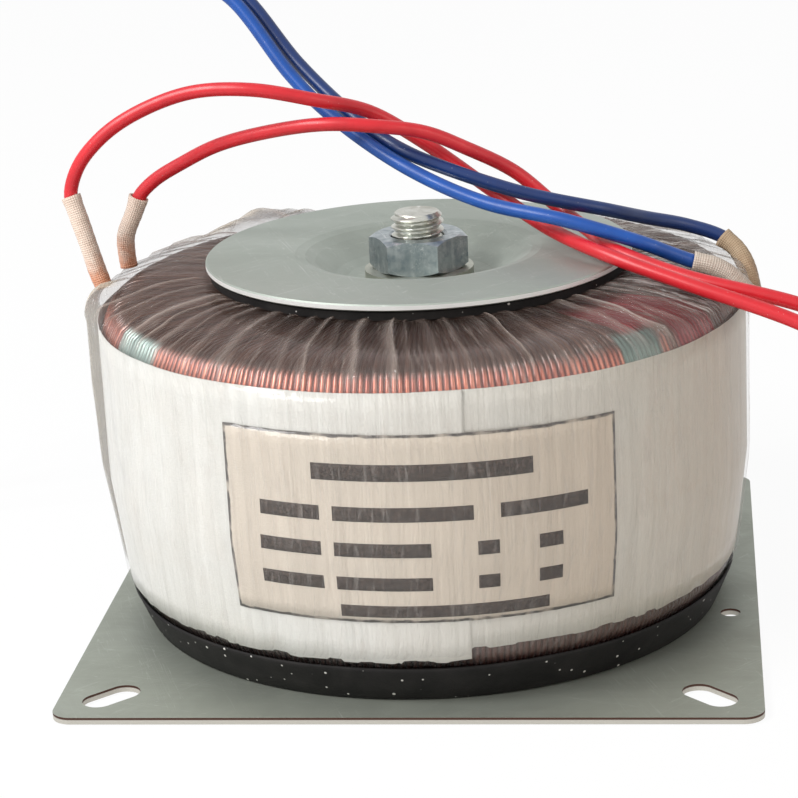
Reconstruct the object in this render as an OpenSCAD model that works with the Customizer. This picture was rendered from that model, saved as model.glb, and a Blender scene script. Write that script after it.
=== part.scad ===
// Toroidal mains transformer on a square mounting plate, with four flying leads.
// The origin is the centre of the plate's underside, and +Z points up through the bolt.

/* [Mounting plate] */
// Side of the square plate
plate_side = 100; // [100:1:130]
// Thickness of the plate's sheet
plate_t = 1; // [0.8:0.1:1.5]
// Radius of the plate's corners
plate_corner_r = 3; // [1:0.5:5]
// Distance between slot centres along X and along Y
slot_spacing = 85; // [84:0.5:86]
// Width of a corner slot
slot_w = 4.8; // [4:0.1:5.5]
// Length of a corner slot, end to end
slot_l = 9; // [8:0.5:10]
// Diameter of the small earth hole
earth_hole_d = 3; // [2.5:0.1:4]

/* [Bolt and nut] */
// Nominal thread diameter
bolt_d = 8; // [8:1:8]
// Height of the bolt's tip above the table
bolt_top_z = 61; // [60:0.5:64]
// Width of the hexagons across their flats
hex_af = 13; // [13:1:13]
// Height of the nut
nut_h = 5.1; // [4.5:0.1:6.5]

/* [Clamp disc] */
// Diameter of the disc
disc_d = 64; // [60:1:66]
// Thickness of its sheet
disc_t = 1; // [0.8:0.1:1.4]
// Height of the disc's upper face above the table
disc_top_z = 55.3; // [55.3:0.1:55.3]
// Depth of the dish round the bolt
dish_depth = 4.4; // [3:0.1:5]

/* [Wound ring] */
// Outer radius of the finished ring, without its pleats
ring_r = 49.3; // [49.3:0.1:49.6]
// Radius of the hole through the finished ring
bore_r = 18.2; // [18:0.1:19]
// Height of the ring's lower face
ring_bottom_z = 2.6; // [2.6:0.1:2.6]
// Height of the ring's upper face, under the top pad
ring_top_z = 52.6; // [52.6:0.1:52.6]
// Number of pleats in the outer film
pleats = 72; // [48:4:76]
// Height of a full pleat
pleat_h = 0.8; // [0.3:0.1:1]

/* [Leads] */
// Outer diameter of an insulated lead
lead_d = 2.1; // [1.8:0.1:2.2]
// Outer diameter of a lead's glass-fibre sleeve
sleeve_d = 2.9; // [2.8:0.1:3.2]

/* [Hidden] */
$fn = 96;

// Sheet-metal dishes: the plate's dish is pushed up over the bolt head, the disc's is pushed down
head_h = 5.3;
head_gap = 0.7;
plate_dish_top = head_gap + head_h + plate_t;
plate_dish_floor_r = 14;
plate_dish_rim_r = 18;
disc_dish_floor_r = 9.5;
disc_dish_rim_r = 18.6;
disc_edge_round = 0.2;
washer_d = 16.4;
washer_t = 1.6;
washer_z = disc_top_z - dish_depth;
nut_z = washer_z + washer_t;
bolt_hole_r = bolt_d / 2 + 0.3;
shank_r = bolt_d / 2 - 0.05;
nut_bore_r = bolt_d / 2;
chamfer = 0.8;

// Earth hole, beside the ring on the right
earth_hole_at = [45.8, -12];

// Rubber pads
pad_inner_r = 20.5;
top_pad_r = 31.4;
lip_z = 6.8;
lip_foot_r = 45.4;
lip_top_r = 47.7;
heel_gap = 0.15;

// Section of the ring, and of the layers inside it
shoulder_r = 3.2;
shoulder_rim = [ring_r - shoulder_r, 47.6];
heel_in = 5.4;
heel_rows = [14.5, 10, 7.4, 5, 3.4];
flat_r = 40.8;
throat_r = 6;
core_section = [25, 43.5, 9, 46.4, 0.6, 0.6];
core_wrap_section = [24.3, 44.2, 8.3, 47.1, 1.2, 1.2];
primary_section = [21.8, 46, 6.3, 48.6, 4, 3];
interlayer_section = [21.4, 46.4, 5.9, 49, 4.4, 3.4];
secondary_section = [18.7, 48.5, 3.3, 51, 10, 6.5];
band_z = [7.6, 47.9];
band_t = 0.15;
wall_r = secondary_section[1] + 0.05;
wall_foot_z = 24;
wall_draft = 0.12;
band_seam_angle = -86;
band_overlap = 8;
band_ramp = 16;
band_skew = 1.8;
label_angles = [-117.6, -52.2];
label_z = [15.3, 42.4];
label_tilt = 1;
label_t = 0.1;
slip_gap = 0.03;
label_r = wall_r + band_t + slip_gap;
// Play round the paper slips, and between the film and the winding's bore and flats
slip_play = 0.06;
bore_play = 0.04;
flat_play = 0.02;
slip_room = 2 * band_t + label_t + slip_gap + slip_play;

// Pleated film: a saw tooth of four points to each pleat, with uneven steps
tooth = [0, 0.45, 0.8, 1];
film_twist = 2.5;
twist_radii = [33, 46];
film_slit = [27.4, 27.6];
pleat_size = rands(0.45, 1, pleats, 7);
pleat_shift = rands(-0.35, 0.35, pleats, 11);
// Two raised places: [direction, half width in degrees, height]
lead_ridge = [187, 9, 0.7];
back_fold = [137, 17, 1.6];
// The ridge over the lead fades out over these heights and radii, and the fold spans its radii
ridge_heights = [8, 38];
ridge_radii = [43, 46];
fold_radii = [33, 49];

// Leads: the points of each route, in the order it runs away from the ring
lead_sides = 8;
sleeve_sides = 10;
sleeve_mouth = 3;
tip_r = 0.7;
tip_l = 6;
red_sleeve_route_1 = [[-48.8, 1, 50], [-49.6, 1, 52.5], [-50.5, 1, 56], [-52, 1.5, 61], [-53, 2, 64]];
red_sleeve_route_2 = [[-46.4, 9, 51], [-46.6, 9, 53], [-46.5, 9, 56], [-45, 9, 59.5], [-44, 9, 62]];
blue_sleeve_route_1 = [[49.9, 8.6, 45.5], [49.2, 9.5, 48.5], [47.6, 11, 51.3], [45.5, 12, 53]];
blue_sleeve_route_2 = [[49, -6, 49], [46, -6.5, 52.2], [43.5, -7, 53.6], [41, -7, 54.2]];
red_route_1 = [
    [-53, 2, 64], [-51.5, 2, 68.5], [-47.5, 2, 73], [-42, 2, 76.5], [-33.5, 1.5, 79.5],
    [-24, 0, 80], [-14.5, 1, 78], [-7, 6, 75], [0.5, 7.5, 70], [13, 4, 61.5], [20, -3, 58.5],
    [29, -13, 56.8], [39.5, -18, 54], [56, -23, 49], [71, -28, 42], [79.5, -32, 32],
    [86, -35, 20], [92.5, -35.5, 9], [98.5, -31.5, 2.6], [103, -24.5, 1.1], [105.5, -16.5, 1.1]
];
red_route_2 = [
    [-44, 9, 62], [-41.5, 9, 64.5], [-36.5, 8, 67.5], [-30.5, 6, 70.5], [-22, 3, 73],
    [-13, 0, 74.5], [-5.5, 0, 74], [1.5, 2, 72.5], [7.5, 4, 69.5], [14.5, 7, 65],
    [20.5, 6, 60], [25.5, 0, 57.5], [29.5, -8.5, 56.6], [39.5, -15, 54.2], [56.5, -19, 50.5],
    [71.5, -21, 44.5], [81.5, -21.5, 34], [88, -20.5, 21], [94, -17, 9.5], [99.5, -11, 2.6],
    [103, -3.5, 1.1], [104, 5, 1.1]
];
blue_route_1 = [
    [45.5, 12, 53], [40, 12, 55], [34, 9, 57], [28.5, 4, 59.5], [16, 1.5, 63], [4, 2.5, 67],
    [-2, 3.5, 69.5], [-8, 7.5, 72.5], [-18.5, 14, 81], [-26.5, 18, 90.5], [-33, 20, 96],
    [-42, 22, 99.5], [-54, 25, 100], [-65, 29, 97], [-74, 33, 89.5], [-82, 38, 73],
    [-87, 43, 50], [-90, 46.5, 28], [-93, 47.5, 14], [-97.5, 45, 4.8], [-102, 38.5, 1.1],
    [-104.5, 30, 1.1]
];
blue_route_2 = [
    [41, -7, 54.2], [37.5, -8, 55.8], [34, -9, 57.5], [22.5, -8, 61], [10.5, -4, 63],
    [-1.5, 1, 67.5], [-13.5, 8, 74.5], [-19.5, 11, 80], [-28.5, 15.5, 91], [-35, 17, 95],
    [-43, 18, 97.5], [-54, 21, 97.5], [-66, 24, 93], [-74, 27, 85], [-81, 29, 70],
    [-85.5, 32, 49], [-88, 34.5, 28], [-90.5, 35, 14], [-94.5, 32, 4.8], [-98.5, 25.5, 1.1],
    [-100.5, 17, 1.1]
];

// Plate and disc ---------------------------------------------------------------------------

module rounded_square(side, r) {
    square([side - 2 * r, side], center = true);
    square([side, side - 2 * r], center = true);
    for (x = [-1, 1], y = [-1, 1])
        translate([x, y] * (side / 2 - r)) circle(r);
}

module slot(length, width) {
    square([length - width, width], center = true);
    for (x = [-1, 1])
        translate([x * (length - width) / 2, 0]) circle(width / 2);
}

module mounting_plate() {
    color("#8d938c") difference() {
        union() {
            linear_extrude(plate_t) difference() {
                rounded_square(plate_side, plate_corner_r);
                circle(plate_dish_rim_r);
                for (x = [-1, 1], y = [-1, 1])
                    translate([x, y] * slot_spacing / 2) rotate(45 * x * y) slot(slot_l, slot_w);
                translate(earth_hole_at) circle(d = earth_hole_d);
            }
            rotate_extrude() polygon([
                [plate_dish_rim_r, 0], [plate_dish_rim_r, plate_t],
                [plate_dish_floor_r + 1, plate_dish_top], [0, plate_dish_top],
                [0, plate_dish_top - plate_t], [plate_dish_floor_r, plate_dish_top - plate_t],
                [plate_dish_rim_r - 1, 0]
            ]);
        }
        cylinder(h = 4 * plate_dish_top, r = bolt_hole_r, center = true);
    }
}

// The disc's dish is drawn softly: its wall is half a wave from the flat floor to the rim
function dish_wall(share) = [
    disc_dish_floor_r + share * (disc_dish_rim_r - disc_dish_floor_r),
    washer_z + dish_depth * (1 - cos(180 * share)) / 2
];

module top_clamp_disc() {
    e = disc_edge_round;
    r = disc_d / 2;
    bottom = disc_top_z - disc_t;
    wall = [for (k = [0:6]) dish_wall(k / 6)];
    color("#9a9e96") rotate_extrude() polygon(concat(
        [[bolt_hole_r, washer_z - disc_t], [bolt_hole_r, washer_z]], wall,
        [[r - e, disc_top_z], [r, disc_top_z - e], [r, bottom + e], [r - e, bottom]],
        [for (k = [6:-1:0]) wall[k] - [0, disc_t]]
    ));
}

// Bolt, nut and washer -----------------------------------------------------------------------

// A hexagonal prism whose corners are turned away by a cone at one end or at both
module hexagon(height, both_ends) {
    corner_r = hex_af / sqrt(3);
    drop = (corner_r - hex_af / 2) * tan(30);
    low = both_ends ? drop : 0;
    intersection() {
        cylinder(h = height, r = corner_r, $fn = 6);
        rotate_extrude() polygon([
            [0, 0], [both_ends ? hex_af / 2 : corner_r, 0], [corner_r, low],
            [corner_r, height - drop], [hex_af / 2, height], [0, height]
        ]);
    }
}

module clamp_bolt() {
    head_top = head_gap + head_h;
    color("#b9bcb6") union() {
        translate([0, 0, head_top]) mirror([0, 0, 1]) hexagon(head_h, false);
        translate([0, 0, head_top - 0.5])
            cylinder(h = bolt_top_z - head_top + 0.5 - chamfer, r = shank_r);
        translate([0, 0, bolt_top_z - chamfer])
            cylinder(h = chamfer, r1 = shank_r, r2 = shank_r - chamfer);
    }
}

module hex_nut() {
    color("#9aa3a8") translate([0, 0, nut_z]) rotate(-2) difference() {
        hexagon(nut_h, true);
        translate([0, 0, -1]) cylinder(h = nut_h + 2, r = nut_bore_r);
        translate([0, 0, nut_h - chamfer / 2])
            cylinder(h = chamfer, r1 = nut_bore_r - 0.05, r2 = nut_bore_r + chamfer);
    }
}

module flat_washer() {
    color("#a6aaa4") translate([0, 0, washer_z]) difference() {
        cylinder(h = washer_t, d = washer_d);
        translate([0, 0, -1]) cylinder(h = washer_t + 2, r = bolt_hole_r);
    }
}

// Rubber pads --------------------------------------------------------------------------------

module top_rubber_pad() {
    top = disc_top_z - disc_t;
    color("#1c1a1a") rotate_extrude() polygon([
        [pad_inner_r, ring_top_z], [top_pad_r - 0.3, ring_top_z], [top_pad_r, ring_top_z + 0.3],
        [top_pad_r, top - 0.3], [top_pad_r - 0.3, top], [pad_inner_r, top]
    ]);
}

// The lower pad is wider than the ring's flat, so its rim stands up round the ring's heel
module bottom_rubber_pad() {
    color("#161414") rotate_extrude() polygon(concat(
        [[pad_inner_r, plate_t], [lip_foot_r - 0.6, plate_t], [lip_foot_r, plate_t + 0.6],
         [lip_top_r, lip_z - 0.3], [lip_top_r - 0.2, lip_z]],
        [for (z = [lip_z, heel_rows[3], heel_rows[4]]) [heel(z) + heel_gap, z]],
        [[flat_r + 2 * heel_gap, ring_bottom_z], [pad_inner_r, ring_bottom_z]]
    ));
}

// Layers of the ring -------------------------------------------------------------------------

// A section is [inner radius, outer radius, bottom, top, lower corners, upper corners]
module section(s) {
    width = s[1] - s[0];
    translate([s[0], s[2] + s[4]]) square([width, s[3] - s[2] - s[4] - s[5]]);
    translate([s[0] + s[4], s[2]]) square([width - 2 * s[4], 2 * s[4]]);
    translate([s[0] + s[5], s[3] - 2 * s[5]]) square([width - 2 * s[5], 2 * s[5]]);
    for (x = [s[0] + s[4], s[1] - s[4]]) translate([x, s[2] + s[4]]) circle(s[4]);
    for (x = [s[0] + s[5], s[1] - s[5]]) translate([x, s[3] - s[5]]) circle(s[5]);
}

module layer(outer, inner) {
    rotate_extrude() difference() {
        section(outer);
        section(inner);
    }
}

module steel_core() {
    color("#5f6468") rotate_extrude() section(core_section);
}

module core_insulation() {
    color("#c9b48a") layer(core_wrap_section, core_section);
}

module primary_winding() {
    color("#9c4a2e") layer(primary_section, core_wrap_section);
}

module interlayer_insulation() {
    color("#cfc9b8") layer(interlayer_section, primary_section);
}

// The outer winding follows the ring's wall, which is drawn in below its foot
module secondary_winding() {
    r = secondary_section[1];
    color("#b0573a") rotate_extrude() difference() {
        intersection() {
            section(secondary_section);
            polygon([[0, 0], [r - wall_in(0), 0], [r, wall_foot_z], [r, ring_top_z], [0, ring_top_z]]);
        }
        section(interlayer_section);
    }
}

// Paper slips wrapped round the ring ---------------------------------------------------------

// How far the ring's wall is drawn in at a height, below the foot of its straight part
function wall_in(z) = wall_draft * max(0, wall_foot_z - z);

// A thin sheet bent round Z, r from the axis and t thick, which follows the ring's wall
function sheet_station(a, r, t, z0, z1) =
    let (up = [for (z = [z0, wall_foot_z, z1]) [r - wall_in(z), z]],
         down = [for (z = [z1, wall_foot_z, z0]) [r + t - wall_in(z), z]])
    [for (c = concat(up, down)) [c[0] * cos(a), c[0] * sin(a), c[1]]];

function loop_faces(rings, sides) = [
    for (i = [0:rings - 2], j = [0:sides - 1])
        let (k = (j + 1) % sides)
        [(i + 1) * sides + j, (i + 1) * sides + k, i * sides + k, i * sides + j]
];

function cap_faces(rings, sides) = [
    [for (j = [0:sides - 1]) j],
    [for (j = [sides - 1:-1:0]) (rings - 1) * sides + j]
];

module skin(stations) {
    sides = len(stations[0]);
    points = [for (s = stations, p = s) p];
    polyhedron(points, concat(loop_faces(len(stations), sides),
                              cap_faces(len(stations), sides)), convexity = 6);
}

// The band's end climbs on to its start, and its two edges drop a little round the ring
module paper_band() {
    steps = 92;
    turn = 360 + band_overlap;
    color("#e9e6df") skin([for (i = [0:steps])
        let (f = i / steps, dz = band_skew * (1 - f),
             rise = band_t * max(0, 1 + min(0, f * turn - 360) / band_ramp))
        sheet_station(band_seam_angle + f * turn, wall_r + rise, band_t - 0.01,
                      band_z[0] + dz, band_z[1] - band_skew + dz)]);
}

// The label bulges over the band's flap, from a little before it to a little behind it
module rating_label() {
    steps = 22;
    middle = band_seam_angle + band_overlap / 2;
    color("#d9c7ae") skin([for (i = [0:steps])
        let (f = i / steps, dz = label_tilt * (0.5 - f),
             a = label_angles[0] + f * (label_angles[1] - label_angles[0]),
             rise = band_t * max(0, min(1, 1 - (abs(a - middle) - band_overlap) / band_ramp)))
        sheet_station(a, label_r + rise, label_t, label_z[0] + dz, label_z[1] + dz)]);
}

// Outer film ---------------------------------------------------------------------------------

// Radius of the ring's heel at a height: a quarter of a tall ellipse, from the wall to the table
function heel(z) =
    let (drop = (wall_foot_z - z) / (wall_foot_z - ring_bottom_z))
    ring_r - heel_in * (1 - sqrt(1 - drop * drop));
function throat_point(a, z) = [bore_r + throat_r + throat_r * cos(a), z + throat_r * sin(a), 0];
function shoulder_point(a, share) = concat(shoulder_rim + shoulder_r * [cos(a), sin(a)], share);

// Rows of the film's surface, once round its wall: [radius, height, share of the pleat's height].
// A row with no share has one point to a pleat. The others have one to each step of a tooth.
top = ring_top_z;
film_outside = concat(
    [[bore_r, film_slit[1], 0]],
    [for (a = [180:-30:90]) throat_point(a, top - throat_r)],
    [[33, top, 0], [36.5, top - 0.1, 0.6], [40.5, top - 0.4, 1], [44.1, top - 1.1, 1]],
    [shoulder_point(62, 0.9), shoulder_point(38, 0.8), shoulder_point(14, 0.55)],
    [[ring_r, 43, 0.3], [ring_r, wall_foot_z, 0.2]],
    [for (z = heel_rows) [heel(z), z, 0]],
    [[flat_r, ring_bottom_z, 0]],
    [for (a = [270:-45:180]) throat_point(a, ring_bottom_z + throat_r)],
    [[bore_r, film_slit[0], 0]]
);

// The hollow that the winding and the paper slips fill, just clear of them
function corner(r) = r * (1 - tan(22.5));
film_inside = let (
    s = secondary_section, low = corner(s[4]), high = corner(s[5]),
    bore = s[0] - bore_play, floor = s[2] - flat_play, ceiling = s[3] + flat_play,
    slip = wall_r + slip_room, slip_z = band_z + [-0.2, 0.15]
) [
    [bore, film_slit[0], 0], [bore, s[2] + low, 0], [s[0] + low, floor, 0],
    [s[1] - low + bore_play, floor, 0], [slip - wall_in(slip_z[0]), slip_z[0], 0],
    [slip, wall_foot_z, 0], [slip, slip_z[1], 0],
    [s[1] + s[3] - high - slip_z[1] + bore_play, slip_z[1], 0],
    [s[1] - high + bore_play, ceiling, 0],
    [s[0] + high, ceiling, 0], [bore, s[3] - high, 0], [bore, film_slit[1], 0]
];
film_rows = concat(film_outside, film_inside);

// How far the film is raised by what it covers: a lead down the side, and a loose fold at the back
function bump(a, centre, width) =
    let (d = abs((a - centre + 540) % 360 - 180)) d > width ? 0 : pow(cos(90 * d / width), 2);
function share_of(v, span) = max(0, min(1, (v - span[0]) / (span[1] - span[0])));
function over_lead(a, r, z) =
    bump(a, lead_ridge[0], lead_ridge[1]) * lead_ridge[2]
    * share_of(z, ridge_heights) * share_of(r, ridge_radii);
function back_fold_rise(a, r, z) =
    bump(a, back_fold[0], back_fold[1]) * back_fold[2]
    * (z > shoulder_z ? sin(180 * share_of(r, fold_radii)) : 0);

// The way a point of the film moves when it is raised, in radius and height
shoulder_z = 46;
rim_r = 45;
function outward(r, z) = z < shoulder_z ? [1, 0] : r > rim_r ? [cos(45), sin(45)] : [0, 1];

function row_steps(row) = row[2] > 0 ? len(tooth) : 1;
function row_points(row) =
    let (r = row[0], z = row[1], steps = row_steps(row), fine = steps > 1,
         twist = film_twist * share_of(r, twist_radii))
    [for (p = [0:pleats - 1], k = [0:steps - 1])
        let (turn = fine ? (pleat_shift[p] + k) / steps : 0,
             a = (p + turn) * 360 / pleats + (fine ? twist : 0),
             pleat = row[2] * pleat_h * pleat_size[p] * tooth[k],
             rise = fine ? pleat + over_lead(a, r, z) + back_fold_rise(a, r, z) : 0,
             way = outward(r, z))
        [(r + rise * way.x) * cos(a), (r + rise * way.x) * sin(a), z + rise * way.y]];

// Triangles between two lines of points that have the same ends
function strip(one, other) =
    len(one) == len(other)
    ? [for (k = [0:len(one) - 2])
        each [[one[k], other[k], other[k + 1]], [one[k], other[k + 1], one[k + 1]]]]
    : len(one) > len(other)
    ? let (half = (len(one) - 1) / 2)
        concat([for (k = [0:len(one) - 2]) [one[k], other[k < half ? 0 : 1], one[k + 1]]],
               [[one[half], other[0], other[1]]])
    : let (half = (len(other) - 1) / 2)
        concat([for (k = [0:len(other) - 2]) [one[k < half ? 0 : 1], other[k], other[k + 1]]],
               [[one[0], other[half], one[1]]]);

function pleat_line(start, steps, p) =
    [for (k = [0:steps]) start + (p * steps + k) % (steps * pleats)];

module outer_film_wrap() {
    count = len(film_rows);
    steps = [for (row = film_rows) row_steps(row)];
    starts = [for (i = 0, at = 0; i < count; at = at + steps[i] * pleats, i = i + 1) at];
    points = [for (row = film_rows, p = row_points(row)) p];
    faces = [for (i = [0:count - 1], p = [0:pleats - 1])
        let (next = (i + 1) % count)
        each strip(pleat_line(starts[next], steps[next], p), pleat_line(starts[i], steps[i], p))];
    color("#d8cfc4") polyhedron(points, faces, convexity = 10);
}

// Leads --------------------------------------------------------------------------------------

function unit(v) = v / norm(v);
function tangent(path, i) =
    unit(path[min(i + 1, len(path) - 1)] - path[max(i - 1, 0)]);
function station(centre, along, r, sides) =
    let (u = unit(cross([0, 1, 0], along)), v = cross(along, u))
    [for (k = [0:sides - 1]) centre + r * (cos(360 * k / sides) * u + sin(360 * k / sides) * v)];
function tube(path, r, sides) =
    [for (i = [0:len(path) - 1]) station(path[i], tangent(path, i), r, sides)];

// The sleeve's mouth is bored out for the lead, which starts on the bottom of that bore
module sleeve(path) {
    last = len(path) - 1;
    along = tangent(path, last);
    bore = lead_d / 2 + 0.2;
    mouth = [for (depth = [0, sleeve_mouth])
        station(path[last] - depth * along, along, bore, sleeve_sides)];
    skin(concat(tube(path, sleeve_d / 2, sleeve_sides), mouth));
}

// A lead's route, with its first point drawn back to the bottom of the sleeve's bore
function seated(route, sleeve_route) =
    let (end = len(sleeve_route) - 1, along = tangent(sleeve_route, end))
    concat([route[0] - sleeve_mouth * along, route[0] - 0.01 * along],
           [for (i = [1:len(route) - 1]) route[i]]);

module lead(route, sleeve_route) {
    skin(tube(seated(route, sleeve_route), lead_d / 2, lead_sides));
}

// Tinned strand at the end of a lead, in line with its last stretch
module tip(route) {
    last = len(route) - 1;
    along = tangent(route, last);
    translate(route[last])
        rotate([0, acos(along.z), atan2(along.y, along.x)])
            cylinder(h = tip_l, r = tip_r, $fn = 24);
}

module red_sleeve_1() { color("#e9d3c0") sleeve(red_sleeve_route_1); }
module red_sleeve_2() { color("#e9d3c0") sleeve(red_sleeve_route_2); }
module blue_sleeve_1() { color("#c9b196") sleeve(blue_sleeve_route_1); }
module blue_sleeve_2() { color("#ddd0c4") sleeve(blue_sleeve_route_2); }
module red_lead_1() { color("#d8383c") lead(red_route_1, red_sleeve_route_1); }
module red_lead_2() { color("#d8383c") lead(red_route_2, red_sleeve_route_2); }
module blue_lead_1() { color("#123a80") lead(blue_route_1, blue_sleeve_route_1); }
module blue_lead_2() { color("#1c52a8") lead(blue_route_2, blue_sleeve_route_2); }
module red_tip_1() { color("#c8c8c8") tip(red_route_1); }
module red_tip_2() { color("#c8c8c8") tip(red_route_2); }
module blue_tip_1() { color("#c8c8c8") tip(blue_route_1); }
module blue_tip_2() { color("#c8c8c8") tip(blue_route_2); }

mounting_plate();
bottom_rubber_pad();
steel_core();
core_insulation();
primary_winding();
interlayer_insulation();
secondary_winding();
paper_band();
rating_label();
outer_film_wrap();
top_rubber_pad();
top_clamp_disc();
flat_washer();
hex_nut();
clamp_bolt();
red_sleeve_1();
red_sleeve_2();
blue_sleeve_1();
blue_sleeve_2();
red_lead_1();
red_lead_2();
blue_lead_1();
blue_lead_2();
red_tip_1();
red_tip_2();
blue_tip_1();
blue_tip_2();
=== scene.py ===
# %% [markdown]
# # A toroidal mains transformer
# The real object is a ring of steel strip wound with copper wire, wrapped in clear film and
# clamped to a square plate by one bolt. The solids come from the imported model, so this script
# only dresses them: it adds what light sees, such as pleats, wire, weave, thread and finish.

# %% Load the solids
import math
import random

import bpy
from mathutils import Matrix, Vector, noise


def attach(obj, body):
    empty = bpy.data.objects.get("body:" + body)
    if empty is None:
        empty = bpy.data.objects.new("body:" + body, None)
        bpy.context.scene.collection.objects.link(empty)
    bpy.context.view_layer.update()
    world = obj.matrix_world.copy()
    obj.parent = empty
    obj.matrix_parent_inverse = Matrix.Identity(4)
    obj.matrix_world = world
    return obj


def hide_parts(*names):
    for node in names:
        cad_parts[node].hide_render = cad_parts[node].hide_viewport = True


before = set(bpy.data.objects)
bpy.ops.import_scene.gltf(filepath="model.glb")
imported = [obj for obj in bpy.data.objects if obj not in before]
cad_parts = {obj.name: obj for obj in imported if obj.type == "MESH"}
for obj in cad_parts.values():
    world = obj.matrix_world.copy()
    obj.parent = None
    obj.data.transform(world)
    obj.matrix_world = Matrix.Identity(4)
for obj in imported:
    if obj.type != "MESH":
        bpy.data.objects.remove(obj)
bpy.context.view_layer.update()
MM = 0.001
print("solids:", len(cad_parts))

# %% [markdown]
# ## Camera
# The camera stands a little to the right of the front and looks down on the ring. A long lens
# from 0.4 m keeps the plate's edges nearly parallel. It is set by two angles, a roll and the
# point that it aims at, because those are easier to adjust than a matrix.

# %% Camera
AZIMUTH, ELEVATION, ROLL = (math.radians(a) for a in (6.78, 17.39, -2.86))
AIM = Vector((-5.10, 8.64, 28.80)) * MM
DISTANCE = 415.5 * MM
LENS = 119.76

back = Vector((math.sin(AZIMUTH) * math.cos(ELEVATION),
               -math.cos(AZIMUTH) * math.cos(ELEVATION), math.sin(ELEVATION)))
level = Vector((0, 0, 1)).cross(back).normalized()
plumb = back.cross(level)
right = math.cos(ROLL) * level + math.sin(ROLL) * plumb
up = math.cos(ROLL) * plumb - math.sin(ROLL) * level

camera = bpy.data.objects.new("camera", bpy.data.cameras.new("camera"))
camera.data.lens = LENS
camera.data.clip_start, camera.data.clip_end = 0.01, 20
place = Matrix((right, up, back)).transposed().to_4x4()
place.translation = AIM + DISTANCE * back
camera.matrix_world = place
scene = bpy.context.scene
scene.collection.objects.link(camera)
scene.camera = camera
scene.view_settings.view_transform = "Standard"
print("camera at", [round(x, 3) for x in camera.location])

# %% [markdown]
# ## Floor, background and light
# A product table is white from edge to edge. The floor and the world look white only to the
# camera and in reflections, so the object itself is lit at a plain level. Two soft lamps at the
# upper left give the light its direction and the film its streaks, and a weak warm one fills
# the other side. A few short helpers come first, because every material here is a tree of
# nodes, and code that names what a node does is easier to read than the node calls themselves.

# %% Helpers that build node trees
def new_material(name):
    """A material with an empty tree. Returns both."""
    material = bpy.data.materials.new(name)
    material.use_nodes = True
    tree = material.node_tree
    tree.nodes.clear()
    return material, tree


def add(tree, kind, values=None, **settings):
    """A shader node. values fill its inputs, by name or number, or link sockets to them."""
    node = tree.nodes.new("ShaderNode" + kind)
    for key, value in settings.items():
        setattr(node, key, value)
    for key, value in (values or {}).items():
        if isinstance(value, bpy.types.NodeSocket):
            tree.links.new(value, node.inputs[key])
        else:
            node.inputs[key].default_value = value
    return node


def maths(tree, operation, *values, clamp=False):
    """A Math node's result. Each value is a number or a socket."""
    node = add(tree, "Math", dict(enumerate(values)), operation=operation)
    node.use_clamp = clamp
    return node.outputs[0]


def times(tree, one, other):
    return maths(tree, "MULTIPLY", one, other)


def plus(tree, one, other, clamp=False):
    return maths(tree, "ADD", one, other, clamp=clamp)


def larger(tree, one, other):
    return maths(tree, "MAXIMUM", one, other)


def mix(tree, factor, one, other, mode="MIX"):
    """A Mix node's colour. Each colour is a socket, or red, green and blue."""
    one, other = ((*c, 1) if isinstance(c, tuple) else c for c in (one, other))
    return add(tree, "Mix", {0: factor, 6: one, 7: other},
               data_type="RGBA", blend_type=mode).outputs[2]


def split(tree, vector):
    """The X, Y and Z sockets of a vector."""
    return add(tree, "SeparateXYZ", {0: vector}).outputs


def uv_point(tree, name):
    return add(tree, "UVMap", uv_map=name).outputs[0]


def scaled(tree, vector, factors):
    """A vector with X, Y and Z each multiplied."""
    return add(tree, "VectorMath", {0: vector, 1: factors}, operation="MULTIPLY").outputs[0]


def ramp(tree, factor, low, high, out_low=0.0, out_high=1.0):
    """Maps low..high to out_low..out_high, and stays inside that."""
    return add(tree, "MapRange",
               {0: factor, 1: low, 2: high, 3: out_low, 4: out_high}).outputs[0]


def for_camera_and_mirrors(tree):
    """1 for rays that show the background: straight, reflected or passed through."""
    path = add(tree, "LightPath")
    seen = larger(tree, path.outputs["Is Camera Ray"], path.outputs["Is Glossy Ray"])
    return larger(tree, seen, path.outputs["Is Transmission Ray"])


# %% World and floor
WORLD_STRENGTH, FLOOR_GLOW = 0.40, 0.94
FLOOR_REACH, FLOOR_DROP = 3.0, 0.0002

world = bpy.data.worlds.new("studio")
scene.world = world
world.use_nodes = True
tree = world.node_tree
tree.nodes.clear()
shown = for_camera_and_mirrors(tree)
lighting = add(tree, "Background", {"Color": (0.95, 0.97, 1, 1), "Strength": WORLD_STRENGTH})
backdrop = add(tree, "Background", {"Color": (1, 1, 1, 1), "Strength": 1.0})
mixed = add(tree, "MixShader", {0: shown, 1: lighting.outputs[0], 2: backdrop.outputs[0]})
add(tree, "OutputWorld", {0: mixed.outputs[0]})

floor_mesh = bpy.data.meshes.new("floor")
floor_mesh.from_pydata([(x * FLOOR_REACH, y * FLOOR_REACH, 0)
                        for x, y in ((-1, -1), (1, -1), (1, 1), (-1, 1))], [], [(0, 1, 2, 3)])
floor = bpy.data.objects.new("floor", floor_mesh)
floor.location.z = -FLOOR_DROP
scene.collection.objects.link(floor)
floor_paint, tree = new_material("floor_paint")
matt = add(tree, "BsdfDiffuse", {"Color": (0.9, 0.9, 0.9, 1)})
white = add(tree, "Emission", {"Color": (1, 1, 1, 1), "Strength": 1.0})
share = times(tree, for_camera_and_mirrors(tree), FLOOR_GLOW)
mixed = add(tree, "MixShader", {0: share, 1: matt.outputs[0], 2: white.outputs[0]})
add(tree, "OutputMaterial", {0: mixed.outputs[0]})
floor_mesh.materials.append(floor_paint)
print("world and floor")


# %% Lamps
LIT_POINT = Vector((0, 0, 30)) * MM


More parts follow.
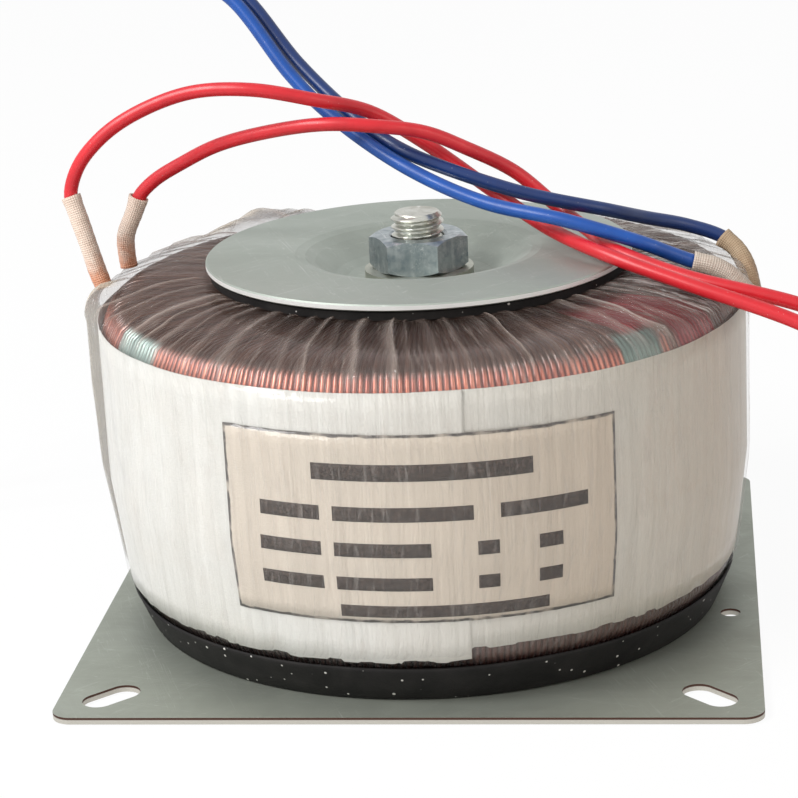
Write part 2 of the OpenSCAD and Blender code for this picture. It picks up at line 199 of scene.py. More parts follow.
def area_lamp(name, place, size, power, colour):
    """A square soft lamp at a place, turned to the ring. Sizes in metres, power in watts."""
    data = bpy.data.lights.new(name, "AREA")
    data.size, data.energy, data.color = size, power, colour
    lamp = bpy.data.objects.new(name, data)
    lamp.location = place
    lamp.rotation_mode = "QUATERNION"
    lamp.rotation_quaternion = (LIT_POINT - Vector(place)).to_track_quat("-Z", "Y")
    scene.collection.objects.link(lamp)
    print(name, power, "W")


area_lamp("key_lamp", (-0.52, -0.58, 0.60), 0.30, 4.5, (1, 0.99, 0.97))
area_lamp("window_lamp", (-0.60, -0.28, 0.72), 0.24, 5.0, (0.98, 0.99, 1))
area_lamp("fill_lamp", (0.7, -0.6, 0.5), 0.5, 1.6, (1, 0.90, 0.76))

# %% [markdown]
# ## Flying leads
# Four insulated wires leave the ring through sleeves: two red ones on the left and two blue
# ones on the right. Each is stiff enough to stand in an arch, and its far end lies on the
# table. A wire is a fixed length of something round, so it is one swept circle along a smooth
# line through a few points, which are the ones that the solids use.

# %% Routes of the leads
ROUTES = {
    "red_lead_1": [
        (-53, 2, 64), (-51.5, 2, 68.5), (-47.5, 2, 73), (-42, 2, 76.5), (-33.5, 1.5, 79.5),
        (-24, 0, 80), (-14.5, 1, 78), (-7, 6, 75), (0.5, 7.5, 70), (13, 4, 61.5),
        (20, -3, 58.5), (29, -13, 56.8), (39.5, -18, 54), (56, -23, 49), (71, -28, 42),
        (79.5, -32, 32), (86, -35, 20), (92.5, -35.5, 9), (98.5, -31.5, 2.6),
        (103, -24.5, 1.1), (105.5, -16.5, 1.1)],
    "red_lead_2": [
        (-44, 9, 62), (-41.5, 9, 64.5), (-36.5, 8, 67.5), (-30.5, 6, 70.5), (-22, 3, 73),
        (-13, 0, 74.5), (-5.5, 0, 74), (1.5, 2, 72.5), (7.5, 4, 69.5), (14.5, 7, 65),
        (20.5, 6, 60), (25.5, 0, 57.5), (29.5, -8.5, 56.6), (39.5, -15, 54.2),
        (56.5, -19, 50.5), (71.5, -21, 44.5), (81.5, -21.5, 34), (88, -20.5, 21),
        (94, -17, 9.5), (99.5, -11, 2.6), (103, -3.5, 1.1), (104, 5, 1.1)],
    "blue_lead_1": [
        (45.5, 12, 53), (40, 12, 55), (34, 9, 57), (28.5, 4, 59.5), (16, 1.5, 63),
        (4, 2.5, 67), (-2, 3.5, 69.5), (-8, 7.5, 72.5), (-18.5, 14, 81), (-26.5, 18, 90.5),
        (-33, 20, 96), (-42, 22, 99.5), (-54, 25, 100), (-65, 29, 97), (-74, 33, 89.5),
        (-82, 38, 73), (-87, 43, 50), (-90, 46.5, 28), (-93, 47.5, 14), (-97.5, 45, 4.8),
        (-102, 38.5, 1.1), (-104.5, 30, 1.1)],
    "blue_lead_2": [
        (41, -7, 54.2), (37.5, -8, 55.8), (34, -9, 57.5), (22.5, -8, 61), (10.5, -4, 63),
        (-1.5, 1, 67.5), (-13.5, 8, 74.5), (-19.5, 11, 80), (-28.5, 15.5, 91), (-35, 17, 95),
        (-43, 18, 97.5), (-54, 21, 97.5), (-66, 24, 93), (-74, 27, 85), (-81, 29, 70),
        (-85.5, 32, 49), (-88, 34.5, 28), (-90.5, 35, 14), (-94.5, 32, 4.8),
        (-98.5, 25.5, 1.1), (-100.5, 17, 1.1)],
}
SLEEVES = {
    "red_lead_1": ("red_sleeve_1", [
        (-48.8, 1, 50), (-49.6, 1, 52.5), (-50.5, 1, 56), (-52, 1.5, 61), (-53, 2, 64)]),
    "red_lead_2": ("red_sleeve_2", [
        (-46.4, 9, 51), (-46.6, 9, 53), (-46.5, 9, 56), (-45, 9, 59.5), (-44, 9, 62)]),
    "blue_lead_1": ("blue_sleeve_1", [
        (49.9, 8.6, 45.5), (49.2, 9.5, 48.5), (47.6, 11, 51.3), (45.5, 12, 53)]),
    "blue_lead_2": ("blue_sleeve_2", [
        (49, -6, 49), (46, -6.5, 52.2), (43.5, -7, 53.6), (41, -7, 54.2)]),
}
LEAD_D, SLEEVE_D, SEAT = 2.1, 2.9, 3.0
LEAD_STEP, SLEEVE_STEP = 0.8, 0.3


def running_length(points):
    """How far along a line each of its points lies."""
    lengths = [0.0]
    for a, b in zip(points, points[1:]):
        lengths.append(lengths[-1] + math.dist(a, b))
    return lengths


def smooth_line(points, step=LEAD_STEP):
    """A smooth line through the points, sampled about every step mm and never below the table.

    This is a centripetal Catmull-Rom curve: it passes through every point and doesn't loop."""
    points = [Vector(p) for p in points]
    ends = [2 * points[0] - points[1]] + points + [2 * points[-1] - points[-2]]
    line = []
    for a, b, c, d in zip(ends, ends[1:], ends[2:], ends[3:]):
        t1 = (b - a).length ** 0.5
        t2 = t1 + (c - b).length ** 0.5
        t3 = t2 + (d - c).length ** 0.5
        count = max(2, round((c - b).length / step))
        for k in range(count):
            t = t1 + (t2 - t1) * k / count
            p = a * (t1 - t) / t1 + b * t / t1
            q = b * (t2 - t) / (t2 - t1) + c * (t - t1) / (t2 - t1)
            r = c * (t3 - t) / (t3 - t2) + d * (t - t2) / (t3 - t2)
            p = p * (t2 - t) / t2 + q * t / t2
            q = q * (t3 - t) / (t3 - t1) + r * (t - t1) / (t3 - t1)
            line.append(p * (t2 - t) / (t2 - t1) + q * (t - t1) / (t2 - t1))
    for p in line:
        p.z = max(p.z, LEAD_D / 2)
    return line + [points[-1]]


for name, route in ROUTES.items():
    print(name, round(running_length(smooth_line(route))[-1]), "mm")

# %% [markdown]
# ## Making pieces
# Most pieces here are swept or turned: a closed line of points is moved along a path or round
# an axis, and neighbouring points are joined by faces. A few helpers do this for all of them,
# so each piece is only a rule for where its points go. One helper also lays a UV map on such a
# grid, because some finishes have to follow the piece and not the space round it.


# %% Helpers for pieces
def make_piece(name, points, faces, material, slot, replaced=(), smooth=True):
    """A mesh piece from points in millimetres, which rides on the body."""
    mesh = bpy.data.meshes.new(name)
    mesh.from_pydata([tuple(c * MM for c in p) for p in points], [], faces)
    mesh.materials.append(material)
    mesh.polygons.foreach_set("use_smooth", [smooth] * len(mesh.polygons))
    mesh.update()
    piece = bpy.data.objects.new(name, mesh)
    scene.collection.objects.link(piece)
    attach(piece, "root")
    if replaced:
        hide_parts(*replaced)
    print(f"{name}: {len(points)} points, {len(faces)} faces")
    return piece


def grid_faces(rows, columns, close_rows=False):
    """Quads over a grid of points listed row by row, where each row is a closed loop."""
    faces = []
    for i in range(rows if close_rows else rows - 1):
        a, b = i * columns, (i + 1) % rows * columns
        for j in range(columns):
            k = (j + 1) % columns
            faces.append((a + j, a + k, b + k, b + j))
    return faces


def end_faces(rows, columns):
    """The two faces that close the ends of a grid."""
    return [tuple(range(columns - 1, -1, -1)), tuple(range((rows - 1) * columns, rows * columns))]


def grid_uv(piece, name, columns, rule):
    """A UV map for a grid piece. rule gives the point for a column and a row. On the faces that
    close a row, the first columns count on from the last."""
    layer = piece.data.uv_layers.new(name=name)
    for face in piece.data.polygons:
        touches = [piece.data.loops[i].vertex_index for i in face.loop_indices]
        across = [v % columns for v in touches]
        closing = max(across) - min(across) > columns / 2
        for i, v, column in zip(face.loop_indices, touches, across):
            more = columns if closing and column < columns / 2 else 0
            layer.data[i].uv = rule(column + more, v // columns)


def sweep(line, radius, sides, capped=True):
    """A round tube along a line. radius is a number, or a rule of (share of the line, angle)."""
    points, side = [], Vector((0, 1, 0))
    count = len(line)
    for i, p in enumerate(line):
        along = (line[min(i + 1, count - 1)] - line[max(i - 1, 0)]).normalized()
        side = (side - along * side.dot(along)).normalized()
        other = along.cross(side)
        for k in range(sides):
            a = 2 * math.pi * k / sides
            r = radius(i / (count - 1), a) if callable(radius) else radius
            points.append(p + r * (math.cos(a) * side + math.sin(a) * other))
    return points, grid_faces(count, sides) + (end_faces(count, sides) if capped else [])


def polar(angle, r, z):
    """A point from its angle in degrees, its distance from the bolt's axis and its height."""
    a = math.radians(angle)
    return (r * math.cos(a), r * math.sin(a), z)


def waver(x, y, z):
    """Smooth noise between about -1 and 1."""
    return noise.noise(Vector((x, y, z)))


def within(value):
    """The value, held between 0 and 1."""
    return max(0.0, min(1.0, value))


# %% [markdown]
# ## Effects that several finishes share
# Grain, wear and dust show up on many of the parts. Each is one node group with named inputs,
# so that a material only picks its values. The groups give out masks and heights, and the
# shader stays in the material.

# %% Shader groups
def new_group(name, inputs, outputs):
    """A node group. inputs are (name, default), outputs are names. Returns its tree and ends."""
    group = bpy.data.node_groups.new(name, "ShaderNodeTree")
    for label, default in inputs:
        socket = group.interface.new_socket(label, in_out="INPUT", socket_type="NodeSocketFloat")
        socket.default_value = default
    for label in outputs:
        group.interface.new_socket(label, in_out="OUTPUT", socket_type="NodeSocketFloat")
    entry = group.nodes.new("NodeGroupInput")
    ending = group.nodes.new("NodeGroupOutput")
    return group, entry, ending


def object_point(tree, stretch=(1, 1, 1)):
    """Object coordinates in millimetres, stretched along X, Y and Z."""
    return scaled(tree, add(tree, "TexCoord").outputs["Object"],
                  tuple(s / MM for s in stretch))


def noise_value(tree, where, scale, detail=3.0, roughness=0.55, distortion=0.0):
    return add(tree, "TexNoise",
               {"Vector": where, "Scale": scale, "Detail": detail, "Roughness": roughness,
                "Distortion": distortion}).outputs[0]


mottle, entry, ending = new_group("mottle", [("Size mm", 8.0), ("Contrast", 1.0)],
                                  ["Mask", "Grain"])
where = object_point(mottle)
scale = maths(mottle, "DIVIDE", 1.0, entry.outputs["Size mm"])
broad = noise_value(mottle, where, scale, 4.0, 0.6, 0.6)
fine = noise_value(mottle, where, times(mottle, scale, 22.0), 2.0, 0.6)
centred = times(mottle, maths(mottle, "SUBTRACT", broad, 0.5), entry.outputs["Contrast"])
mottle.links.new(plus(mottle, times(mottle, centred, 2.2), 0.5, clamp=True), ending.inputs["Mask"])
mottle.links.new(fine, ending.inputs["Grain"])

scratches, entry, ending = new_group("scratches", [("Density", 0.5), ("Length", 30.0)], ["Mask"])
marks = None
for turn, seed in ((0.3, 3.1), (1.2, 9.7), (2.3, 17.3)):
    turned = add(scratches, "VectorRotate",
                 {"Vector": object_point(scratches), "Angle": turn}, rotation_type="Z_AXIS")
    thin = add(scratches, "CombineXYZ", {1: 2.2, 2: 1.0})
    scratches.links.new(maths(scratches, "DIVIDE", 2.2, entry.outputs["Length"]), thin.inputs[0])
    line = scaled(scratches, turned.outputs[0], thin.outputs[0])
    moved = add(scratches, "VectorMath", {0: line, 1: (seed,) * 3}, operation="ADD").outputs[0]
    wave = noise_value(scratches, moved, 1.0, 1.0, 0.4)
    edge = maths(scratches, "ABSOLUTE", maths(scratches, "SUBTRACT", wave, 0.5))
    patchy = ramp(scratches, noise_value(scratches, moved, 0.21, 1.0), 0.52, 0.62)
    ray = times(scratches, ramp(scratches, edge, 0.0, 0.012, 1.0, 0.0), patchy)
    marks = ray if marks is None else larger(scratches, marks, ray)
scratches.links.new(times(scratches, marks, entry.outputs["Density"]), ending.inputs["Mask"])

edge_wear, entry, ending = new_group("edge_wear", [("Start", 0.53), ("Softness", 0.06)], ["Mask"])
sharp = add(edge_wear, "NewGeometry").outputs["Pointiness"]
wear_and_fold_shade = ramp(edge_wear, sharp, entry.outputs["Start"],
            plus(edge_wear, entry.outputs["Start"], entry.outputs["Softness"]))
broken = ramp(edge_wear, noise_value(edge_wear, object_point(edge_wear), 0.9, 4.0), 0.3, 0.6)
edge_wear.links.new(times(edge_wear, wear_and_fold_shade, broken), ending.inputs["Mask"])

dust, entry, ending = new_group("dust", [("Amount", 0.5), ("Speck mm", 0.5)], ["Mask", "Height"])
cells = add(dust, "TexVoronoi", {"Vector": object_point(dust)})
dust.links.new(maths(dust, "DIVIDE", 0.45, entry.outputs["Speck mm"]), cells.inputs["Scale"])
size = add(dust, "SeparateColor", {0: cells.outputs["Color"]})
reach = times(dust, size.outputs[0], times(dust, entry.outputs["Amount"], 0.34))
dot = maths(dust, "SUBTRACT", reach, cells.outputs["Distance"])
dust.links.new(ramp(dust, dot, 0.0, 0.05), ending.inputs["Mask"])
dust.links.new(ramp(dust, dot, 0.0, 0.1), ending.inputs["Height"])
print("groups:", [g.name for g in bpy.data.node_groups])


def use_group(tree, group, **values):
    """Places a group in a material with its own values. An underscore in a name is a space."""
    node = tree.nodes.new("ShaderNodeGroup")
    node.node_tree = group
    for key, value in values.items():
        node.inputs[key.replace("_", " ")].default_value = value
    return node


def mottled(tree, size, contrast):
    """The mask and the grain of soft patches of a size in millimetres."""
    return use_group(tree, mottle, Size_mm=size, Contrast=contrast).outputs


def bump(tree, height, distance, strength):
    """A Bump node's normal. distance is the relief's depth in millimetres."""
    return add(tree, "Bump", {"Height": height, "Distance": distance * MM,
                              "Strength": strength}).outputs[0]


def principled(tree, **values):
    """The shader and the output. Values name the shader's sockets, with _ for a space."""
    shader = add(tree, "BsdfPrincipled",
                 {key.replace("_", " "): value for key, value in values.items()})
    add(tree, "OutputMaterial", {0: shader.outputs[0]})


# %% [markdown]
# ## Zinc on sheet steel
# The plate, the disc, the washer and the nut are zinc plated. Rolled sheet has faint streaks
# along one way, cloudy patches where the plating dulled, and fine scratches. Its cut edge is
# bare steel: bright on the disc, and on the plate pale below a thin brown line. The nut and
# the bolt are also rubbed bright along their sharp edges by the spanner.


# %% Zinc finishes
def zinc(name, clean, dim_tone, rough, cut=None, streak=(0.04, 1.2, 1.2), patch=9.0, scratch=0.4,
         metallic=1.0, wear_and_fold_shade=0.0, cut_foot=None):
    """Zinc plating with patches, rolling streaks and scratches, and its own colour on a cut."""
    material, tree = new_material(name)
    mask, grain = mottled(tree, patch, 1.0)
    streaks = noise_value(tree, object_point(tree, streak), 1.0, 3.0, 0.6)
    lines = use_group(tree, scratches, Density=scratch, Length=34.0)
    tone = plus(tree, times(tree, mask, 0.6), times(tree, streaks, 0.4))
    colour = mix(tree, tone, clean, dim_tone)
    colour = mix(tree, lines.outputs[0], colour, (0.80, 0.81, 0.80))
    if cut:
        facing = split(tree, add(tree, "NewGeometry").outputs["True Normal"])[2]
        on_edge = ramp(tree, maths(tree, "ABSOLUTE", facing), 0.15, 0.3, 1.0, 0.0)
        lower = ramp(tree, split(tree, object_point(tree))[2], 0.72, 0.6)
        edge = mix(tree, lower, cut, cut_foot or cut)
        colour = mix(tree, on_edge, colour, edge)
    if wear_and_fold_shade:
        rubbed = use_group(tree, edge_wear, Start=0.54, Softness=0.08).outputs[0]
        colour = mix(tree, times(tree, rubbed, wear_and_fold_shade), colour, (0.86, 0.87, 0.86))
    principled(tree, Base_Color=colour, Roughness=plus(tree, rough, times(tree, mask, 0.16)),
               Metallic=metallic,
               Normal=bump(tree, plus(tree, times(tree, grain, 0.5), streaks), 0.006, 0.35))
    return material


plate_zinc = zinc("plate_zinc", (0.375, 0.398, 0.350), (0.285, 0.303, 0.262), 0.50,
                  cut=(0.075, 0.035, 0.025), cut_foot=(0.52, 0.50, 0.45), patch=13.0,
                  scratch=0.2, metallic=0.75)
disc_zinc = zinc("disc_zinc", (0.375, 0.410, 0.370), (0.310, 0.342, 0.305), 0.46,
                 cut=(0.86, 0.86, 0.84), patch=18.0, scratch=0.3, metallic=0.75)
washer_zinc = zinc("washer_zinc", (0.50, 0.51, 0.44), (0.33, 0.34, 0.29), 0.34)
nut_zinc = zinc("nut_zinc", (0.34, 0.40, 0.43), (0.17, 0.205, 0.225), 0.30, patch=3.0,
                streak=(1.5, 1.5, 0.3), scratch=0.8, wear_and_fold_shade=0.6)
bolt_zinc = zinc("bolt_zinc", (0.66, 0.66, 0.61), (0.38, 0.38, 0.33), 0.24, patch=3.0, wear_and_fold_shade=0.5)


def finish_solid(node, material):
    """Gives a CAD solid its procedural finish."""
    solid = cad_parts[node]
    solid.data.materials.clear()
    solid.data.materials.append(material)


finish_solid("mounting_plate", plate_zinc)
finish_solid("top_clamp_disc", disc_zinc)
finish_solid("flat_washer", washer_zinc)
finish_solid("hex_nut", nut_zinc)
print("zinc finishes: 5, on 4 solids and the bolt")

# %% [markdown]
# ## Threaded bolt
# An M8 bolt has a coarse thread of 1.25 mm pitch. A real thread is rolled, and its crests stay
# a little rough. Here the whole bolt is one surface turned round its axis: the radius at each
# point depends on its height for the thread, and on its angle for the hexagonal head.

# %% Bolt
THREAD_R, PITCH, THREAD_CUT = 3.95, 1.25, 0.62
THREAD_FROM, BOLT_TOP = 49.0, 61.0
HEAD_FROM, HEAD_TO, FLATS = 0.7, 6.0, 13.0
ROW_STEP, TURN_SIDES = 0.085, 96


def hexagon_radius(a):
    """Distance from the axis to a hexagon's side. Its first corner is at angle 0."""
    sixth = math.pi / 3
    return FLATS / 2 / math.cos(a % sixth - sixth / 2)


def thread_radius(a, z):
    """The thread's flank at an angle and a height, faded in at its start and cut at the tip."""
    off_crest = abs(2 * ((z / PITCH - a / (2 * math.pi)) % 1) - 1)
    cut = within((off_crest - 0.12) / 0.62) * within((z - THREAD_FROM) / 1.5)
    rough = 0.035 * waver(3 * math.cos(a), 3 * math.sin(a), 2.5 * z)
    return min(THREAD_R - THREAD_CUT * cut + rough, THREAD_R - 0.75 + (BOLT_TOP - z))


bolt_rows = [(HEAD_FROM, lambda a, z: 3.0), (HEAD_FROM, lambda a, z: FLATS / 2 - 0.2),
             (HEAD_FROM + 0.5, lambda a, z: hexagon_radius(a)),
             (HEAD_TO, lambda a, z: hexagon_radius(a)), (HEAD_TO, lambda a, z: THREAD_R)]
steps = round((BOLT_TOP - THREAD_FROM) / ROW_STEP)
bolt_rows += [(THREAD_FROM + (BOLT_TOP - THREAD_FROM) * k / steps, thread_radius)
              for k in range(steps + 1)]
bolt_rows += [(BOLT_TOP - 0.12, lambda a, z: 2.4 + 0.2 * math.sin(2 * a)),
              (BOLT_TOP - 0.05, lambda a, z: 0.8)]
points = []
for z, radius in bolt_rows:
    for k in range(TURN_SIDES):
        a = 2 * math.pi * k / TURN_SIDES
        points.append((radius(a, z) * math.cos(a), radius(a, z) * math.sin(a), z))
faces = grid_faces(len(bolt_rows), TURN_SIDES) + end_faces(len(bolt_rows), TURN_SIDES)
make_piece("threaded_bolt", points, faces, bolt_zinc, "bolt_zinc", ["clamp_bolt"], smooth=False)

# %% [markdown]
# ## Insulation, copper and the core
# The inner layers are closed in, so they need only honest plain finishes, in case the part is
# cut open or seen through the bore.


# %% Plain finishes of the inner layers
def plain(name, colour, other, rough, metallic=0.0):
    """Two close colours in soft patches, with a fine grain."""
    material, tree = new_material(name)
    mask, grain = mottled(tree, 5.0, 1.2)
    principled(tree, Base_Color=mix(tree, mask, colour, other), Roughness=rough,
               Metallic=metallic, Normal=bump(tree, grain, 0.02, 0.6))
    return material


core_steel = plain("core_steel", (0.30, 0.31, 0.32), (0.38, 0.38, 0.38), 0.45, 0.9)
insulation = plain("insulation", (0.82, 0.78, 0.66), (0.74, 0.69, 0.56), 0.55)
inner_copper = plain("inner_copper", (0.62, 0.26, 0.17), (0.50, 0.19, 0.12), 0.35, 0.8)
finish_solid("steel_core", core_steel)
finish_solid("core_insulation", insulation)
finish_solid("interlayer_insulation", insulation)
finish_solid("primary_winding", inner_copper)
print("inner layers: 4")

# %% [markdown]
# ## Rubber
# Black sheet rubber is nearly matt, with a fine grain, and it always carries white specks of
# dust. The upper pad keeps its solid. The lower one is made further on, when the shape of the
# film that it hugs is known.

# %% Rubber
rubber, tree = new_material("rubber")
specks = use_group(tree, dust, Amount=0.5, Speck_mm=0.7)
mask, grain = mottled(tree, 6.0, 1.3)
colour = mix(tree, mask, (0.0035, 0.003, 0.003), (0.014, 0.0125, 0.012))
colour = mix(tree, specks.outputs["Mask"], colour, (0.62, 0.60, 0.57))
principled(tree, Base_Color=colour, Roughness=0.7, Specular_IOR_Level=0.25,
           Normal=bump(tree, plus(tree, grain, specks.outputs["Height"]), 0.08, 0.7))
finish_solid("top_rubber_pad", rubber)
print("upper pad")

# %% [markdown]
# ## Places on the ring
# The winding, the paper and the film all follow the ring, so their finishes ask where a point
# lies on it: its direction round the bolt, its distance from the bolt and its height. One
# group answers that, and a helper picks out what lies between two limits, with soft ends.

# %% Groups for places on the ring
ring_place, entry, ending = new_group("ring_place", [], ["Direction", "Radius", "Height"])
x, y, z = split(ring_place, object_point(ring_place))
turn = times(ring_place, maths(ring_place, "ARCTAN2", y, x), 180 / math.pi)
squares = plus(ring_place, times(ring_place, x, x), times(ring_place, y, y))
ring_place.links.new(turn, ending.inputs["Direction"])
ring_place.links.new(maths(ring_place, "SQRT", squares), ending.inputs["Radius"])
ring_place.links.new(z, ending.inputs["Height"])


def between(tree, value, low, high, soft):
    """1 where a value lies between two limits, with soft ends."""
    rise = ramp(tree, value, low - soft, low + soft)
    fall = ramp(tree, value, high - soft, high + soft, 1.0, 0.0)
    return times(tree, rise, fall)


print("groups:", len(bpy.data.node_groups))

# %% [markdown]
# ## Outer winding
# Enamelled copper wire goes round the core about 330 times, side by side. On the outer wall
# the turns lie parallel, and on top they crowd together towards the bore. The piece is the
# ring's section carried round the bolt, with one round hump for each turn of wire. Every wire
# wanders a little, because it is wound by a shuttle and not laid by hand.

# %% Copper winding
SECTION = dict(inner=18.7, outer=48.5, low=3.3, high=51.0, low_r=10.0, high_r=6.5)
WALL_FOOT, WALL_DRAFT = 24.0, 0.12
WIRES, HUMP, HUMP_SAMPLES = 330, 0.34, 6
WIRES_ROUND = WIRES * HUMP_SAMPLES
SUNK_TOP, SUNK_WALL = 0.10, 0.42


def wall_in(z):
    """How far the ring's wall is drawn in at a height, below the foot of its straight part."""
    return WALL_DRAFT * max(0.0, WALL_FOOT - z)


def section_outline(inner, outer, low, high, low_r, high_r):
    """The section's outline from the bore's foot, up, over the top and down to the table.

    Each item is (radius, height, direction of the surface in degrees from straight out)."""
    outline = [(inner, low + low_r, 180), (inner, 30, 180), (inner, high - high_r, 180)]
    for angle in range(165, -1, -15):
        centre = inner + high_r if angle > 90 else outer - high_r
        a = math.radians(angle)
        outline.append((centre + high_r * math.cos(a), high - high_r + high_r * math.sin(a),
                        angle))
        if angle == 90:
            outline[-1] = (inner + high_r, high, 90)
            outline += [(33, high, 90), (38, high, 90), (outer - high_r, high, 90)]
    outline += [(outer, 36, 0), (outer, WALL_FOOT, 0)]
    for angle in range(0, -196, -15):
        centre = inner + low_r if angle < -90 else outer - low_r
        a = math.radians(angle)
        r, z = centre + low_r * math.cos(a), low + low_r + low_r * math.sin(a)
        if -180 < angle:
            outline.append((min(r, outer - wall_in(z)) if angle > -90 else r, z, angle))
        if angle == -90:
            outline.append((inner + low_r, low, -90))
    return outline


outline = section_outline(**SECTION)
along = running_length([row[:2] for row in outline])
wires = random.Random(5)
wander = [wires.uniform(-0.14, 0.14) for _ in range(WIRES)]
proud = [wires.uniform(-0.05, 0.06) for _ in range(WIRES)]
points = []
for row, (r, z, way) in enumerate(outline):
    for wire in range(WIRES):
        for k in range(HUMP_SAMPLES):
            t = k / HUMP_SAMPLES
            a = 360 * (wire + t) / WIRES
            drift = 0.7 * waver(2.4 * math.cos(math.radians(a)), 2.4 * math.sin(math.radians(a)),
                                along[row] / 22)
            lift = HUMP * math.sqrt(1 - (2 * t - 1) ** 2) + proud[wire] * math.sin(math.pi * t)
            lift -= SUNK_TOP if z > 48.4 or r < 44 else SUNK_WALL
            w = math.radians(way)
            points.append(polar(a + drift + wander[wire] * math.sin(0.31 * row + wire),
                                r + lift * math.cos(w), z + lift * math.sin(w)))
faces = grid_faces(len(outline), WIRES_ROUND, close_rows=True)

copper, tree = new_material("copper_wire")
heading, _, height = use_group(tree, ring_place).outputs
turns = split(tree, uv_point(tree, "sheet"))[0]
odd = add(tree, "TexWhiteNoise", {"W": maths(tree, "FLOOR", turns)},
          noise_dimensions="1D").outputs["Value"]
tone = plus(tree, times(tree, odd, 0.6), times(tree, mottled(tree, 3.0, 1.1)[0], 0.4))
colour = mix(tree, tone, (0.66, 0.22, 0.14), (0.30, 0.07, 0.05))
# Painted shade: the grooves between the wires are darkened almost to black.
off_crest = maths(tree, "ABSOLUTE", maths(tree, "SUBTRACT", maths(tree, "FRACT", turns), 0.5))
colour = mix(tree, ramp(tree, off_crest, 0.16, 0.40, 0.0, 0.92), colour,
             (0.085, 0.012, 0.010))
# Painted shade: the copper turns dark brown over the top, above about 49 mm, and from -40° round
# the right side to the back, away from the lamps.
dim_tone = mix(tree, tone, (0.150, 0.080, 0.060), (0.040, 0.020, 0.016))
painted_shade_zone = larger(tree, ramp(tree, height, 48.7, 49.9), ramp(tree, heading, -40.0, -36.0))
colour = mix(tree, painted_shade_zone, colour, dim_tone)
shade = mix(tree, between(tree, heading, -78.0, -15.0, 3.0), (0.006, 0.005, 0.005),
            (0.060, 0.022, 0.016))
colour = mix(tree, ramp(tree, height, 14.0, 11.0, 0.0, 0.93), colour, shade)
TAPES = [  # directions, heights and colour
    ((-151, -137.5), (44, 49.9), (0.23, 0.30, 0.275)),
    ((-48.5, -39.5), (44, 50.6), (0.13, 0.185, 0.165)),
    ((-35, -23), (44, 51.8), (0.16, 0.004, 0.010)),
    ((-46, -36), (50.6, 51.8), (0.20, 0.022, 0.026))]
for headings, heights, tape in TAPES:
    covered = times(tree, between(tree, heading, *headings, 0.6),
                    between(tree, height, *heights, 0.3))
    colour = mix(tree, covered, colour, tape)
principled(tree, Base_Color=colour, Metallic=0.55, Roughness=0.34, Coat_Weight=0.5)
winding = make_piece("copper_winding", points, faces, copper, "copper_wire", ["secondary_winding"])
grid_uv(winding, "sheet", WIRES_ROUND,
        lambda column, row: (column / WIRES_ROUND * WIRES, along[row]))

# %% [markdown]
# ## Paper band and label slip
# A strip of white paper goes once round the ring's wall, and its end laps over its start. Its
# lower edge is puckered and torn where it is gathered on to the ring's heel. The label is a
# second, cream slip with a dark line along its edge. Plain bars stand for its print. All three
# are thin closed sheets, bent round the bolt by the same rule.

# %% Bent sheets
BAND = dict(start=-86.0, overlap=8.0, low=7.6, high=47.9, skew=1.8, r=48.57, thick=0.13)
BAND_TURN = 360 + BAND["overlap"]
LABEL = dict(start=-118.9, end=-52.0, low=14.2, high=41.8, tilt=0.6, r=48.75, thick=0.10)
LABEL_TURN, LABEL_TALL = LABEL["end"] - LABEL["start"], LABEL["high"] - LABEL["low"]
LABEL_WIDE = 55.9
LAP_RISE = 0.15
INK_GAP, INK_THICK = 0.004, 0.02
SHEET_ROWS, BAR_ROWS = 14, 4


def climb(a):
    """How far the slips are lifted where the band's end laps over its start."""
    middle = BAND["start"] + BAND["overlap"] / 2
    return LAP_RISE * within(1 - (abs(a - middle) - 8) / 16)


def bent_sheet(name, angles, edges, lift, thick, material, slot, replaced=(), rows=SHEET_ROWS):
    """A closed thin sheet round Z. edges gives its low and high edge at an angle, and lift its
    radius at an angle and height."""
    points, last = [], len(angles) - 1
    for i, a in enumerate(angles):
        low, high = edges(a, i / last)
        heights = [low + (high - low) * k / (rows - 1) for k in range(rows)]
        points += [polar(a, lift(a, z), z) for z in heights]
        points += [polar(a, lift(a, z) + thick, z) for z in reversed(heights)]
    loop = 2 * rows
    faces = [tuple(reversed(f)) for f in grid_faces(last + 1, loop)]
    faces += [tuple(reversed(f)) for f in end_faces(last + 1, loop)]
    piece = make_piece(name, points, faces, material, slot, replaced)

    def share(k):
        return (k if k < rows else loop - 1 - k) / (rows - 1)

    grid_uv(piece, "slip", loop, lambda k, i: (i / last, share(k % loop)))


def span(start, end, step=0.5):
    count = round((end - start) / step)
    return [start + (end - start) * k / count for k in range(count + 1)]


print("label:", LABEL_WIDE, "by", round(LABEL_TALL, 1), "mm")


# %% Paper finishes
def paper(name, clean, wear_and_fold_shade, stain, right_shade):
    """Paper under film: upright streaks of painted fold shade, faint stains, a painted warm shade
    on the right, and the film's gloss as a coat.
    """
    material, tree = new_material(name)
    heading, _, height = use_group(tree, ring_place).outputs
    upright = add(tree, "CombineXYZ", {0: times(tree, heading, 0.5),
                                       1: times(tree, height, 0.018)}).outputs[0]
    streaks = noise_value(tree, upright, 1.0, 5.0, 0.65, 0.4)
    mask, grain = mottled(tree, 12.0, 1.2)
    # Painted shade: the second colour, in upright streaks, stands for the shade in the film's soft
    # folds.
    colour = mix(tree, ramp(tree, streaks, 0.3, 0.72), clean, wear_and_fold_shade)
    colour = mix(tree, times(tree, mask, 0.45), colour, stain)
    # Painted shade: the paper is darkened and warmed towards the right, the side away from the
    # lamps.
    right_side = between(tree, heading, -62.0, 60.0, 36.0)
    colour = mix(tree, times(tree, right_side, 0.8), colour, right_shade, "MULTIPLY")
    normal = bump(tree, plus(tree, streaks, times(tree, grain, 0.2)), 0.5, 0.7)
    return material, tree, colour, normal


